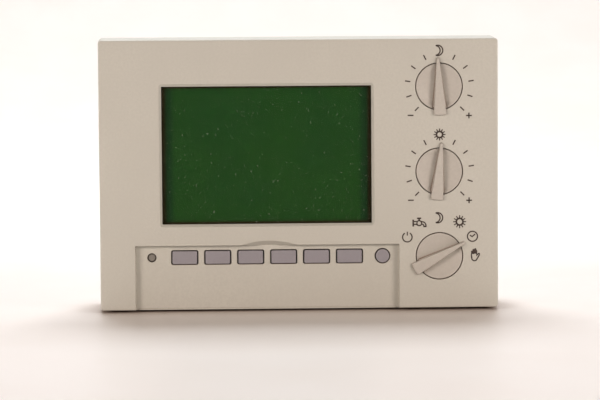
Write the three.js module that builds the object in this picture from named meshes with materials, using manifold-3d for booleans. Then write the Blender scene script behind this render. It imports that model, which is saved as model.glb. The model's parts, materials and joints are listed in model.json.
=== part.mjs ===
import * as THREE from "three";
import { ConvexGeometry } from "three/addons/geometries/ConvexGeometry.js";
import { mergeVertices } from "three/addons/utils/BufferGeometryUtils.js";
import Module from "manifold-3d";

// A room thermostat that hangs on a wall plate. Lengths are in millimetres.
// X runs to the right and Z up, as seen from the front, and Y runs into the wall.
// The wall is the plane Y = 0, and the origin is the middle of the wall side.

// Case
const width = 144;
const height = 97.5;
const depth = 36; // from the wall to the flat of the face
const skin = 2.2; // side walls of the front cover
const faceThickness = 2.4;
const cornerRadius = 1.2;
const edgeBevel = 0.5;
const coverDepth = 20; // how far the front cover reaches back from the face
const draft = 0.85; // the cover's rear rim is this much larger all round than the face
const slip = 0.3; // clearance between pieces that slide together
const past = 1; // how far a cut runs on past the surface that it opens

// Display opening and key recess, both in the face
const opening = { x: -11.6, z: 7.1, width: 75.8, height: 49.8, chamfer: 0.9 };
const recess = { left: -59.4, right: 36.15, top: -25.45, depth: 2.4, floor: 2 };
const notch = { x: -10.9, halfWidth: 10, rise: 1.55 };
const recessWall = 2;

// Keys: one row at the top of the recess
const keyPitch = 11.94;
const keyRow = -29.9;
const middleKey = -11.7;
const keyCount = 6;
const keyCap = { width: 8.9, height: 4.7, corner: 0.5, proud: 0.7 };
const keyGap = 0.35;
const roundKey = { x: 30.15, radius: 2.45 };
const resetPin = { x: -53.45, radius: 1.45, sunk: 1 };
const keyFlange = 0.85; // how far a key's collar reaches past its cap
const collarThickness = 1;

// Knobs
const knobX = 50.7;
const knobPitch = 30.7;
const middleKnob = 0.75;
const knob = { radius: 8.3, thickness: 2.8, dish: 1.7, hubRadius: 4.5, hubLength: 4.7 };
const wing = { tip: 10.4, tail: 10.4, tipWidth: 1.3, tailWidth: 4.8, top: 1.2, lift: 0.3, draft: 0.15 };
const knobGap = 0.3;
const wellFloor = 1.6;
const knobs = [
  { name: "night", z: middleKnob + knobPitch, angle: -2.1, control: "night_potentiometer" },
  { name: "day", z: middleKnob, angle: 5, control: "day_potentiometer" },
  { name: "mode", z: middleKnob - knobPitch, angle: 62, control: "mode_switch" },
];
const shaftRadius = 3;
const shaftFlat = 2.3; // from the shaft's axis to its flat

// Circuit board and what stands on it
const board = { width: 135, height: 89, front: -22, thickness: 1.6 };
const boss = { x: 65, z: 42, radius: 3, hole: 1.3 };
const boardScrew = { radius: 1.1, length: 6, head: 2.4, headHeight: 1.6, hole: 1.5 };
const controlHeight = 6;
const potentiometerSize = 16;
const modeSwitchSize = 17;
const switchSize = 6;
const switchHeight = 3.6;
const plunger = { radius: 1.7, hole: 2, holeDepth: 1.3, sunk: 0.6, gap: 1.1 };
const chip = { x: -40, z: -8, length: 27, width: 6.4, lift: 0.6, height: 4 };
const leg = { count: 10, pitch: 2.54, width: 0.6, span: 8.6, height: 1.9 };
const crystal = { x: -16, z: -8, width: 4.6, length: 11, height: 3.6 };
const relay = { x: 36, z: 26, width: 20, length: 10, height: 10.6 };
const capacitor = { x: 40, z: 4, radius: 4, height: 11 };
const backupCell = { x: -44, z: 20, radius: 7.8, height: 6.5 };
const sensor = { x: 22, z: -38, bead: 1.6, wire: 0.5, wireOffset: 0.9, wireLength: 8 };
const header = { z: 14, length: 22, width: 2.6, height: 2.5, pin: 0.7, pinLength: 10.6 };

// Rear case and wall plate
const plate = { width: 132, height: 86, thickness: 3, corner: 3 };
const rearInset = 0.8; // the rear case is this much smaller all round than the cover's rim
const rearWall = 2;
const tongue = { length: 3, width: 1.2 };
const cableEntry = { width: 30, bottom: 24, top: 40 };
const hook = { x: 45, z: 31, width: 8, height: 5, thickness: 2 };
const lockTab = { width: 10, length: 12, bottom: -43, top: -37 };
const lockScrew = { y: -10, radius: 1.5, head: 2.7, headHeight: 1.6, sunk: 0.1 };
const wallSlot = { x: 56, z: 35, width: 9, height: 3.8, middle: 30 };
const vent = { count: 21, pitch: 6, width: 2.4, length: 7.5 };
const terminal = { count: 4, pitch: 5.08, bottom: 8, top: 20, width: 24, height: 10 };
const clamp = { z: 10.6, radius: 1.8, front: 0.6, rear: 3.4 };

const face = -depth;
const faceRear = face + faceThickness;
const coverRear = face + coverDepth;
const recessFloor = face + recess.depth;
const recessBack = recessFloor + recess.floor;
const knobRear = face + knob.thickness;
const wellBottom = knobRear + 0.5;
const bossHoleFront = board.front - 8;
const boardRear = board.front + board.thickness;
const plateFront = -plate.thickness;
const switchFront = board.front - switchHeight;
const bottom = -height / 2;
const rearWidth = width + 2 * (draft - rearInset);
const rearHeight = height + 2 * (draft - rearInset);
const screwLow = lockScrew.sunk - rearHeight / 2;

const wasm = await Module();
wasm.setup();

// ---- Solids ------------------------------------------------------------------------------------

// A closed geometry as a solid that can be joined and cut. A lathe leaves flat triangles on its axis,
// and they are dropped.
function solid(geometry) {
  const bare = geometry.clone();
  bare.deleteAttribute("normal");
  bare.deleteAttribute("uv");
  const merged = mergeVertices(bare, 1e-4);
  const { array } = merged.index;
  const triangles = [];
  for (let i = 0; i < array.length; i += 3) {
    const [a, b, c] = array.subarray(i, i + 3);
    if (a !== b && b !== c && c !== a) triangles.push(a, b, c);
  }
  return new wasm.Manifold(
    new wasm.Mesh({
      numProp: 3,
      vertProperties: merged.attributes.position.array,
      triVerts: new Uint32Array(triangles),
    }),
  );
}

function join(...geometries) {
  return geometries.map(solid).reduce((whole, piece) => whole.add(piece));
}

function cut(body, ...tools) {
  return tools.map(solid).reduce((whole, tool) => whole.subtract(tool), body);
}

// A solid back as a geometry with flat faces.
function geometryOf(body) {
  const mesh = body.getMesh();
  const geometry = new THREE.BufferGeometry();
  geometry.setAttribute("position", new THREE.BufferAttribute(mesh.vertProperties, 3));
  geometry.setIndex(new THREE.BufferAttribute(mesh.triVerts, 1));
  return geometry;
}

// A box between two X, two Y and two Z values.
function box([x0, x1], [y0, y1], [z0, z1]) {
  const geometry = new THREE.BoxGeometry(x1 - x0, y1 - y0, z1 - z0);
  return geometry.translate((x0 + x1) / 2, (y0 + y1) / 2, (z0 + z1) / 2);
}

// A box centred at x and z, from y0 to y1.
function block(x, z, wide, tall, [y0, y1]) {
  return box([x - wide / 2, x + wide / 2], [y0, y1], [z - tall / 2, z + tall / 2]);
}

// A round rod along Y.
function rod(x, z, radius, [y0, y1], sides = 24) {
  const geometry = new THREE.CylinderGeometry(radius, radius, y1 - y0, sides);
  return geometry.translate(x, (y0 + y1) / 2, z);
}

// A round rod along Z.
function upright(x, y, radius, [z0, z1], sides = 16) {
  const geometry = new THREE.CylinderGeometry(radius, radius, z1 - z0, sides);
  return geometry.rotateX(Math.PI / 2).translate(x, y, (z0 + z1) / 2);
}

// A rectangle with rounded corners, centred at x and z.
function roundedRectangle(x, z, wide, tall, radius) {
  const w = wide / 2 - radius;
  const h = tall / 2 - radius;
  const outline = new THREE.Shape();
  outline.absarc(x + w, z + h, radius, 0, Math.PI / 2);
  outline.absarc(x - w, z + h, radius, Math.PI / 2, Math.PI);
  outline.absarc(x - w, z - h, radius, Math.PI, 1.5 * Math.PI);
  outline.absarc(x + w, z - h, radius, 1.5 * Math.PI, 2 * Math.PI);
  return outline;
}

function rectangle(x, z, wide, tall) {
  const w = wide / 2;
  const h = tall / 2;
  const points = [
    [x - w, z - h],
    [x + w, z - h],
    [x + w, z + h],
    [x - w, z + h],
  ];
  return new THREE.Shape(points.map(([px, pz]) => new THREE.Vector2(px, pz)));
}

// An outline in X and Z, thickened from y0 to y1, with its two rims bevelled inwards.
function slab(outline, [y0, y1], bevel = 0, curveSegments = 4) {
  const geometry = new THREE.ExtrudeGeometry(outline, {
    depth: y1 - y0 - 2 * bevel,
    bevelEnabled: bevel > 0,
    bevelThickness: bevel,
    bevelSize: bevel,
    bevelOffset: -bevel,
    bevelSegments: 1,
    curveSegments,
  });
  return geometry.rotateX(Math.PI / 2).translate(0, y1 - bevel, 0);
}

// ---- Materials ---------------------------------------------------------------------------------

const finishes = {
  case: { color: 0xc2b5a5, roughness: 0.55, metalness: 0 },
  knob: { color: 0xbcaea0, roughness: 0.5, metalness: 0 },
  key: { color: 0x948889, roughness: 0.6, metalness: 0 },
  reset: { color: 0x7b7069, roughness: 0.6, metalness: 0 },
  display: { color: 0x23411c, roughness: 0.2, metalness: 0 },
  window: { color: 0xdfe4df, roughness: 0.08, metalness: 0 },
  holder: { color: 0x3a322c, roughness: 0.6, metalness: 0 },
  rubber: { color: 0x2b2b2d, roughness: 0.8, metalness: 0 },
  board: { color: 0x3f6b3a, roughness: 0.5, metalness: 0 },
  chip: { color: 0x202022, roughness: 0.5, metalness: 0 },
  relay: { color: 0x2a4f8c, roughness: 0.4, metalness: 0 },
  terminal: { color: 0x8c8f8a, roughness: 0.5, metalness: 0 },
  steel: { color: 0xb8b8b4, roughness: 0.35, metalness: 1 },
};

// ---- Case --------------------------------------------------------------------------------------

// The slope that lets a fingernail under a flap: a tilted round cut in the recess's top edge.
function notchTool() {
  const tilt = Math.atan2(notch.rise, recess.depth);
  const arcRadius = (notch.halfWidth ** 2 + notch.rise ** 2) / (2 * notch.rise);
  const radius = arcRadius / Math.cos(tilt);
  const scoop = new THREE.CylinderGeometry(radius, radius, 12, 128).rotateX(-tilt);
  const y = face - radius * Math.sin(tilt);
  const z = recess.top + notch.rise - radius * Math.cos(tilt);
  scoop.translate(notch.x, y, z);
  const reach = notch.halfWidth + 2;
  const limit = box(
    [notch.x - reach, notch.x + reach],
    [face - past, recessFloor],
    [recess.top - past, recess.top + 2 * notch.rise],
  );
  return solid(scoop).intersect(solid(limit));
}

// Widens a geometry evenly from the face to the cover's rear rim, as a moulded cover is.
function withDraft(geometry) {
  const points = geometry.getAttribute("position");
  for (let i = 0; i < points.count; i++) {
    const growth = (draft * (points.getY(i) - face)) / coverDepth;
    points.setX(i, points.getX(i) * (1 + growth / (width / 2)));
    points.setZ(i, points.getZ(i) * (1 + growth / (height / 2)));
  }
  return geometry;
}

function frontCover() {
  const outline = roundedRectangle(0, 0, width, height, cornerRadius);
  const inside = rectangle(0, 0, width - 2 * skin, height - 2 * skin);
  const tray = box(
    [recess.left - recessWall, recess.right + recessWall],
    [faceRear - 0.4, recessBack],
    [bottom + skin / 2, recess.top + recessWall],
  );
  const wells = knobs.map(({ z }) =>
    rod(knobX, z, knob.radius + knobGap + recessWall, [faceRear - 0.4, wellBottom + wellFloor], 32),
  );
  const bosses = corners(boss.x, boss.z).map(([x, z]) =>
    rod(x, z, boss.radius, [faceRear - 0.4, board.front], 16),
  );

  // The bevel of the rear rim is cut away with the length that it stands on.
  const blank = withDraft(slab(outline, [face, coverRear + 2], edgeBevel));
  const rearTrim = box([-width, width], [coverRear, 0], [-height, height]);
  const hollow = slab(inside, [faceRear, coverRear + 3]);
  const shell = cut(solid(blank), hollow, rearTrim);
  const filled = [tray, ...wells, ...bosses].map(solid).reduce((a, b) => a.add(b), shell);

  const { x, z, chamfer } = opening;
  const window = rectangle(x, z, opening.width, opening.height);
  const rim = rectangle(x, z, opening.width + 2 * chamfer, opening.height + 2 * chamfer);
  const recessTool = box(
    [recess.left, recess.right],
    [face - past, recessFloor],
    [bottom - past, recess.top],
  );
  const holes = [
    slab(window, [face - past, faceRear + past]),
    slab(rim, [face - 2, face + chamfer], chamfer),
    recessTool,
    ...keyHoles(),
    ...knobs.map((k) => rod(knobX, k.z, knob.radius + knobGap, [face - past, wellBottom], 48)),
    ...knobs.map((k) => rod(knobX, k.z, knob.hubRadius + knobGap, [wellBottom - past, board.front + past])),
    ...corners(boss.x, boss.z).map((c) => rod(...c, boss.hole, [bossHoleFront, board.front + past], 12)),
  ];
  return cut(filled, ...holes).subtract(notchTool());
}

// The four points at plus and minus x and z.
function corners(x, z) {
  return [
    [-x, z],
    [x, z],
    [-x, -z],
    [x, -z],
  ];
}

function keyX(index) {
  return middleKey + (index - (keyCount - 1) / 2) * keyPitch;
}

function keyHoles() {
  const through = [recessFloor - past, recessBack + past];
  const holes = [
    rod(roundKey.x, keyRow, roundKey.radius + keyGap, through),
    rod(resetPin.x, keyRow, resetPin.radius + keyGap, through, 20),
  ];
  for (let i = 0; i < keyCount; i++) {
    const hole = roundedRectangle(
      keyX(i),
      keyRow,
      keyCap.width + 2 * keyGap,
      keyCap.height + 2 * keyGap,
      keyCap.corner + keyGap,
    );
    holes.push(slab(hole, through, 0, 2));
  }
  return holes;
}

// The rear half of the case: a tray whose tongue slides inside the front cover.
function rearCase() {
  const tongueWide = width - 2 * (skin + slip);
  const tongueTall = height - 2 * (skin + slip);
  const inWide = tongueWide - 2 * tongue.width;
  const inTall = tongueTall - 2 * tongue.width;
  const tongueFront = coverRear - tongue.length;
  const body = join(
    slab(roundedRectangle(0, 0, rearWidth, rearHeight, cornerRadius), [coverRear, plateFront]),
    slab(rectangle(0, 0, tongueWide, tongueTall), [tongueFront, coverRear + 1]),
  );

  const innerRear = plateFront - rearWall;
  const wallRange = [innerRear - past, plateFront + past];
  const slot = { wide: hook.width + 2, low: hook.z - 1, high: hook.z + hook.height + 3 };
  const tools = [
    slab(rectangle(0, 0, inWide, inTall), [tongueFront - past, innerRear]),
    box([-20, 20], wallRange, [terminal.bottom - 3, cableEntry.top + 2]),
    ...[-hook.x, hook.x].map((x) =>
      box([x - slot.wide / 2, x + slot.wide / 2], wallRange, [slot.low, slot.high]),
    ),
    box(
      [-lockTab.width / 2 - 0.5, lockTab.width / 2 + 0.5],
      wallRange,
      [lockTab.bottom - 0.5, lockTab.top + 0.5],
    ),
    upright(0, lockScrew.y, lockScrew.radius + 0.4, [-height, bottom + 6]),
    upright(0, lockScrew.y, lockScrew.head + 0.4, [-height, screwLow + lockScrew.headHeight + slip]),
    ...vents(rearHeight / 2, inTall / 2),
  ];
  return cut(body, ...tools);
}

// Air slots through the top and bottom walls, leaving the middle of the bottom whole for the screw.
function vents(outer, inner) {
  const slots = [];
  const middle = (coverRear + plateFront) / 2;
  for (let i = 0; i < vent.count; i++) {
    const x = (i - (vent.count - 1) / 2) * vent.pitch;
    const xRange = [x - vent.width / 2, x + vent.width / 2];
    const yRange = [middle - vent.length / 2, middle + vent.length / 2];
    slots.push(box(xRange, yRange, [inner - past, outer + past]));
    const besideScrew = Math.abs(x) > 8;
    if (besideScrew) slots.push(box(xRange, yRange, [-outer - past, past - inner]));
  }
  return slots;
}

function wallPlate() {
  const outline = roundedRectangle(0, 0, plate.width, plate.height, plate.corner);
  const neck = plateFront - rearWall - slip;
  const hooks = [-hook.x, hook.x].flatMap((x) => [
    block(x, hook.z + 2, hook.width, hook.thickness, [neck - 1, plateFront + 1]),
    block(x, hook.z + 2 + 1.5, hook.width, hook.height, [neck - hook.thickness, neck]),
  ]);
  const tabWidth = lockTab.width / 2;
  const tab = box(
    [-tabWidth, tabWidth],
    [plateFront - lockTab.length, plateFront + 1],
    [lockTab.bottom, lockTab.top],
  );
  const body = join(slab(outline, [plateFront, 0]), ...hooks, tab);

  const through = [plateFront - past, past];
  const half = cableEntry.width / 2;
  const { middle } = wallSlot;
  const slotPlaces = [[-middle, 0], [middle, 0], [0, -middle], ...corners(wallSlot.x, wallSlot.z)];
  return cut(
    body,
    box([-half, half], through, [cableEntry.bottom, cableEntry.top]),
    ...slotPlaces.map((place) => wallSlotTool(place, through)),
    upright(0, lockScrew.y, lockScrew.radius + 0.2, [lockTab.bottom - past, lockTab.top + past]),
  );
}

// The ends are a hair short of full half circles, so that its straight sides keep some length.
function wallSlotTool([x, z], range) {
  const outline = roundedRectangle(x, z, wallSlot.width, wallSlot.height, wallSlot.height / 2 - 0.01);
  return slab(outline, range, 0, 3);
}

function lockingScrew() {
  const { y, radius, head, headHeight } = lockScrew;
  return join(
    upright(0, y, head, [screwLow, screwLow + headHeight]),
    upright(0, y, radius, [screwLow + 1, lockTab.top - 0.5]),
  );
}

// ---- Display -----------------------------------------------------------------------------------

// Each reaches past the opening by its own border.
const pane = { width: opening.width + 3.6, height: opening.height + 3.6, thickness: 1 };
const holder = { width: opening.width + 6.2, height: opening.height + 8.2 };
const cell = { width: opening.width + 0.2, height: opening.height + 2.2, thickness: 2.2 };
const strip = { short: 6, width: 2, inset: 1.5 };
const paneRear = faceRear + pane.thickness;
const cellRear = paneRear + slip + cell.thickness;

function atOpening(wide, tall, range) {
  return block(opening.x, opening.z, wide, tall, range);
}

function lcdFrame() {
  const through = [paneRear - past, board.front + past];
  const cellHole = atOpening(cell.width + 2 * slip, cell.height + 2 * slip, through);
  return cut(solid(atOpening(holder.width, holder.height, [paneRear, board.front])), cellHole);
}

function zebraStrip(side) {
  const z = opening.z + side * (cell.height / 2 - strip.inset);
  return block(opening.x, z, cell.width - strip.short, strip.width, [cellRear, board.front]);
}

// ---- Keys --------------------------------------------------------------------------------------

// Each key is a cap, a collar that stops behind the recess floor, and a stem down to its switch.
const collarFront = recessBack + slip;
const stemRear = switchFront - plunger.gap;

function key(x) {
  const capFront = recessFloor - keyCap.proud;
  return join(
    slab(
      roundedRectangle(x, keyRow, keyCap.width, keyCap.height, keyCap.corner),
      [capFront, collarFront + 0.5],
      0.25,
      2,
    ),
    block(x, keyRow, keyCap.width + 1.3, keyCap.height + 2 * keyFlange, collarRange()),
    block(x, keyRow, 3, 3, [collarFront, stemRear]),
  );
}

function collarRange() {
  return [collarFront, collarFront + collarThickness];
}

function roundButton(x, radius, capFront) {
  return join(
    rod(x, keyRow, radius, [capFront, collarFront + 0.5]),
    rod(x, keyRow, radius + keyFlange, collarRange()),
    block(x, keyRow, 2, 2, [collarFront, stemRear]),
  );
}

function keySwitch(x) {
  const body = solid(block(x, keyRow, switchSize, switchSize, [switchFront, board.front]));
  const range = [switchFront - past, switchFront + plunger.holeDepth];
  return cut(body, rod(x, keyRow, plunger.hole, range, 16));
}

function keyPlunger(x) {
  return solid(rod(x, keyRow, plunger.radius, [stemRear, switchFront + plunger.sunk], 16));
}

// ---- Knobs -------------------------------------------------------------------------------------

// The wing seen from the front: a wedge with round ends, its narrow tip towards +Z.
function wingOutline(inset) {
  const tip = wing.tip - inset;
  const tail = wing.tail - inset;
  const tipAngle = Math.asin((wing.tipWidth / 2 - inset) / tip);
  const tailAngle = Math.asin((wing.tailWidth / 2 - inset) / tail);
  const outline = new THREE.Shape();
  outline.absarc(0, 0, tip, Math.PI / 2 - tipAngle, Math.PI / 2 + tipAngle);
  outline.absarc(0, 0, tail, 1.5 * Math.PI - tailAngle, 1.5 * Math.PI + tailAngle);
  return outline;
}

// The wing above the face, narrower at its top than at its foot.
function wingBlade() {
  const ringAt = (inset, y) =>
    wingOutline(inset)
      .getPoints(3)
      .map((point) => new THREE.Vector3(point.x, y, point.y));
  const foot = ringAt(0, face - wing.lift);
  const top = ringAt(wing.draft, face - wing.top);
  return new ConvexGeometry([...foot, ...top]);
}

// A knob about its own axis: a dished disc with a hub behind it and the wing across it.
function knobBody() {
  const r = knob.radius;
  const profile = [
    [0, face + knob.dish],
    [4, face + knob.dish * 0.95],
    [6, face + knob.dish * 0.6],
    [r - 0.5, face + 0.05],
    [r - 0.15, face],
    [r, face + 0.2],
    [r, knobRear],
    [knob.hubRadius, knobRear],
    [knob.hubRadius, knobRear + knob.hubLength],
    [0, knobRear + knob.hubLength],
  ];
  const disc = new THREE.LatheGeometry(
    profile.map(([x, y]) => new THREE.Vector2(x, y)),
    48,
  );
  // The middle of the wing stands in the dish, and its ends pass just over the face.
  const foot = solid(slab(wingOutline(0), [face - wing.lift - 0.1, knobRear - 1]));
  const core = solid(rod(0, 0, r - 0.5, [face - wing.top, knobRear], 48));
  const bore = shaftShape(slip, [knobRear, 0]);
  return join(disc, wingBlade()).add(foot.intersect(core)).subtract(bore);
}

// A round shaft with one flat, grown by a clearance all round.
function shaftShape(clearance, range) {
  const round = rod(0, 0, shaftRadius + clearance, range);
  const reach = shaftFlat + clearance;
  return cut(solid(round), box([reach, reach + 5], [-50, 50], [-9, 9]));
}

function shaft() {
  return shaftShape(0, [knobRear + 0.4, board.front - 0.6]);
}

function control(z, size) {
  const range = [board.front - controlHeight, board.front];
  const body = solid(block(knobX, z, size, size, range));
  return cut(body, rod(knobX, z, shaftRadius + slip, [range[0] - past, board.front - slip]));
}

// ---- Circuit board -----------------------------------------------------------------------------

function circuitBoard() {
  const outline = rectangle(0, 0, board.width, board.height);
  const through = [board.front - past, boardRear + past];
  const holes = corners(boss.x, boss.z).map((c) => rod(...c, boardScrew.hole, through, 12));
  return cut(solid(slab(outline, [board.front, boardRear])), ...holes);
}

function boardScrewAt([x, z]) {
  const { radius, length, head, headHeight } = boardScrew;
  return join(
    rod(x, z, head, [boardRear, boardRear + headHeight], 16),
    rod(x, z, radius, [board.front - length, boardRear + 1], 12),
  );
}

// From the board's rear side back by a length.
function behind(length) {
  return [boardRear, boardRear + length];
}

function boxOnBoard({ x, z, width: wide, length: tall, height: stand }) {
  return solid(block(x, z, wide, tall, behind(stand)));
}

function canOnBoard({ x, z, radius, height: stand }, sides) {
  return solid(rod(x, z, radius, behind(stand), sides));
}

// A chip with a row of legs along each long side.
function microcontroller() {
  const legs = [];
  for (let i = 0; i < leg.count; i++) {
    const x = chip.x + (i - (leg.count - 1) / 2) * leg.pitch;
    legs.push(block(x, chip.z, leg.width, leg.span, behind(leg.height)));
  }
  const range = [boardRear + chip.lift, boardRear + chip.height];
  return join(block(chip.x, chip.z, chip.length, chip.width, range), ...legs);
}

// A glass bead held clear of the board on two wires.
function temperatureSensor() {
  const { x, z, wire, wireOffset, wireLength } = sensor;
  const wires = [x - wireOffset, x + wireOffset].map((wireX) =>
    block(wireX, z, wire, wire, behind(wireLength)),
  );
  const bead = new THREE.SphereGeometry(sensor.bead, 12, 8);
  return join(bead.translate(x, boardRear + wireLength + 0.6, z), ...wires);
}

function terminalX(index) {
  return (index - (terminal.count - 1) / 2) * terminal.pitch;
}

const terminalPlaces = Array.from({ length: terminal.count }, (_, i) => terminalX(i));

function pinHeader() {
  const { z, pin, pinLength } = header;
  const pins = terminalPlaces.map((x) => block(x, z, pin, pin, behind(pinLength)));
  return join(block(0, z, header.length, header.width, behind(header.height)), ...pins);
}

function terminalBlock() {
  const front = plateFront - terminal.height;
  const half = terminal.width / 2;
  const body = box([-half, half], [front, plateFront], [terminal.bottom, terminal.top]);
  const clampHole = [front - past, front + clamp.rear + 0.2];
  const wireHole = [clamp.z, terminal.top + past];
  return cut(
    solid(body),
    block(0, header.z, header.length - 1, 1.6, [front - past, front + 5]),
    ...terminalPlaces.map((x) => rod(x, clamp.z, clamp.radius + slip, clampHole, 12)),
    ...terminalPlaces.map((x) => upright(x, plateFront - 2.6, 1.4, wireHole, 10)),
  );
}

function terminalScrew(x) {
  const front = plateFront - terminal.height;
  return solid(rod(x, clamp.z, clamp.radius, [front + clamp.front, front + clamp.rear], 12));
}

// ---- Assembly ----------------------------------------------------------------------------------

const thermostat = new THREE.Group();

function place(parent, name, body, finish) {
  const material = new THREE.MeshStandardMaterial(finishes[finish]);
  const mesh = new THREE.Mesh(geometryOf(body), material);
  mesh.name = name;
  parent.add(mesh);
}

place(thermostat, "front_cover", frontCover(), "case");
place(thermostat, "rear_case", rearCase(), "case");
place(thermostat, "wall_plate", wallPlate(), "case");
place(thermostat, "locking_screw", lockingScrew(), "steel");

const paneRange = [faceRear, paneRear];
const cellRange = [cellRear - cell.thickness, cellRear];
place(thermostat, "display_window", solid(atOpening(pane.width, pane.height, paneRange)), "window");
place(thermostat, "lcd_frame", lcdFrame(), "holder");
place(thermostat, "lcd_glass", solid(atOpening(cell.width, cell.height, cellRange)), "display");
place(thermostat, "zebra_strip_top", solid(zebraStrip(1)), "rubber");
place(thermostat, "zebra_strip_bottom", solid(zebraStrip(-1)), "rubber");

const keyPlaces = [];
for (let i = 0; i < keyCount; i++) {
  keyPlaces.push(keyX(i));
  place(thermostat, `key_${i + 1}`, key(keyX(i)), "key");
}
keyPlaces.push(roundKey.x, resetPin.x);
const roundFront = recessFloor - keyCap.proud;
const pinFront = recessFloor + resetPin.sunk;
place(thermostat, "round_key", roundButton(roundKey.x, roundKey.radius, roundFront), "key");
place(thermostat, "reset_pin", roundButton(resetPin.x, resetPin.radius, pinFront), "reset");
keyPlaces.forEach((x, i) => {
  place(thermostat, `key_switch_${i + 1}`, keySwitch(x), "chip");
  place(thermostat, `key_plunger_${i + 1}`, keyPlunger(x), "terminal");
});

for (const { name, z, angle, control: controlName } of knobs) {
  const turned = new THREE.Group();
  turned.position.set(knobX, 0, z);
  turned.rotation.y = THREE.MathUtils.degToRad(angle);
  thermostat.add(turned);
  place(turned, `knob_${name}`, knobBody(), "knob");
  place(turned, `${name}_shaft`, shaft(), "steel");
  const size = name === "mode" ? modeSwitchSize : potentiometerSize;
  place(thermostat, controlName, control(z, size), "chip");
}

place(thermostat, "circuit_board", circuitBoard(), "board");
corners(boss.x, boss.z).forEach((c, i) =>
  place(thermostat, `board_screw_${i + 1}`, boardScrewAt(c), "steel"),
);
place(thermostat, "microcontroller", microcontroller(), "chip");
place(thermostat, "crystal", boxOnBoard(crystal), "steel");
place(thermostat, "relay", boxOnBoard(relay), "relay");
place(thermostat, "capacitor", canOnBoard(capacitor, 20), "chip");
place(thermostat, "backup_cell", canOnBoard(backupCell, 24), "steel");
place(thermostat, "temperature_sensor", temperatureSensor(), "chip");
place(thermostat, "pin_header", pinHeader(), "chip");
place(thermostat, "terminal_block", terminalBlock(), "terminal");
terminalPlaces.forEach((x, i) =>
  place(thermostat, `terminal_screw_${i + 1}`, terminalScrew(x), "steel"),
);

export default thermostat;
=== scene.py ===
"""The looks of a wall thermostat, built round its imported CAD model. Lengths are in metres."""

import json
import math

import bmesh
import bpy
from mathutils import Matrix, Quaternion, Vector


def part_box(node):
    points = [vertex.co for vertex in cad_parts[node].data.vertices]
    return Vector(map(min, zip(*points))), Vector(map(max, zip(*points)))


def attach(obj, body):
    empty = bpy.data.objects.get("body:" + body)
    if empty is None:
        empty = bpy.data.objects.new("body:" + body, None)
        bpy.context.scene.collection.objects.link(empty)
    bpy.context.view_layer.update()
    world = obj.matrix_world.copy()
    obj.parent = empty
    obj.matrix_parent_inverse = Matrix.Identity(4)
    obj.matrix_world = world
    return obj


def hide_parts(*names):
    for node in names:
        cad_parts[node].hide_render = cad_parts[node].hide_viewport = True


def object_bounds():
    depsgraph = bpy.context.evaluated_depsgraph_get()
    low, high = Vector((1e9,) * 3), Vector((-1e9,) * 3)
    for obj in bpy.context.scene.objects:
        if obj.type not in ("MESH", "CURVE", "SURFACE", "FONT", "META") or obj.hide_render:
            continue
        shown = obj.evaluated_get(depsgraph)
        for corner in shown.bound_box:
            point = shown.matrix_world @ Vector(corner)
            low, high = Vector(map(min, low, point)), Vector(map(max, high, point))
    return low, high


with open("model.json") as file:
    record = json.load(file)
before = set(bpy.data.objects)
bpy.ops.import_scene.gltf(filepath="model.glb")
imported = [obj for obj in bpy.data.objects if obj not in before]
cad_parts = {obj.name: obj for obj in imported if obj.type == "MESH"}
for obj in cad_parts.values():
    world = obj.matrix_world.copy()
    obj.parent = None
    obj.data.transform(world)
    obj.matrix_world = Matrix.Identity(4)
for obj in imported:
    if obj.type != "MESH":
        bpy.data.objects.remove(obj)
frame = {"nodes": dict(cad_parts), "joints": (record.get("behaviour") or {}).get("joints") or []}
cad_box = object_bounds()

MM = 0.001
CASE = "case"  # the body that hangs on the wall
nodes = frame["nodes"]

# ---- Places, read from the frame -----------------------------------------------------------------


def middle(node):
    """The middle of a CAD node."""
    low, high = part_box(node)
    return (low + high) / 2


cover_low, cover_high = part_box("front_cover")
FACE = cover_low.y
COVER_REAR = cover_high.y
DRAFT = 0.85 * MM  # the rim behind is this much larger all round than the face
WIDTH = cover_high.x - cover_low.x - 2 * DRAFT
HEIGHT = cover_high.z - cover_low.z - 2 * DRAFT
SKIN = 2.2 * MM
FACE_THICKNESS = 2.4 * MM
FACE_REAR = FACE + FACE_THICKNESS
EDGE_ROUND = 0.5 * MM
CORNER = 1.2 * MM

PANE_BORDER = 1.8 * MM  # the pane reaches this far past the opening all round
pane_low, pane_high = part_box("display_window")
OPENING_MIDDLE = middle("display_window")
OPENING_WIDTH = pane_high.x - pane_low.x - 2 * PANE_BORDER
OPENING_HEIGHT = pane_high.z - pane_low.z - 2 * PANE_BORDER
OPENING_CHAMFER = 0.9 * MM
OPENING_CORNER = 0.25 * MM

RECESS_DEPTH = 2.4 * MM
RECESS_WALL = 2 * MM
RECESS_FLOOR = FACE + RECESS_DEPTH
RECESS_BACK = RECESS_FLOOR + RECESS_WALL
RECESS_LEFT = -59.4 * MM
RECESS_RIGHT = 36.15 * MM
RECESS_MIDDLE = (RECESS_LEFT + RECESS_RIGHT) / 2
RECESS_WIDTH = RECESS_RIGHT - RECESS_LEFT
RECESS_TOP = -25.45 * MM
RECESS_CORNER = 0.35 * MM
RECESS_FILLET = 0.3 * MM
NOTCH_X = -10.9 * MM
NOTCH_HALF_WIDTH = 10 * MM
NOTCH_RISE = 1.55 * MM

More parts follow.
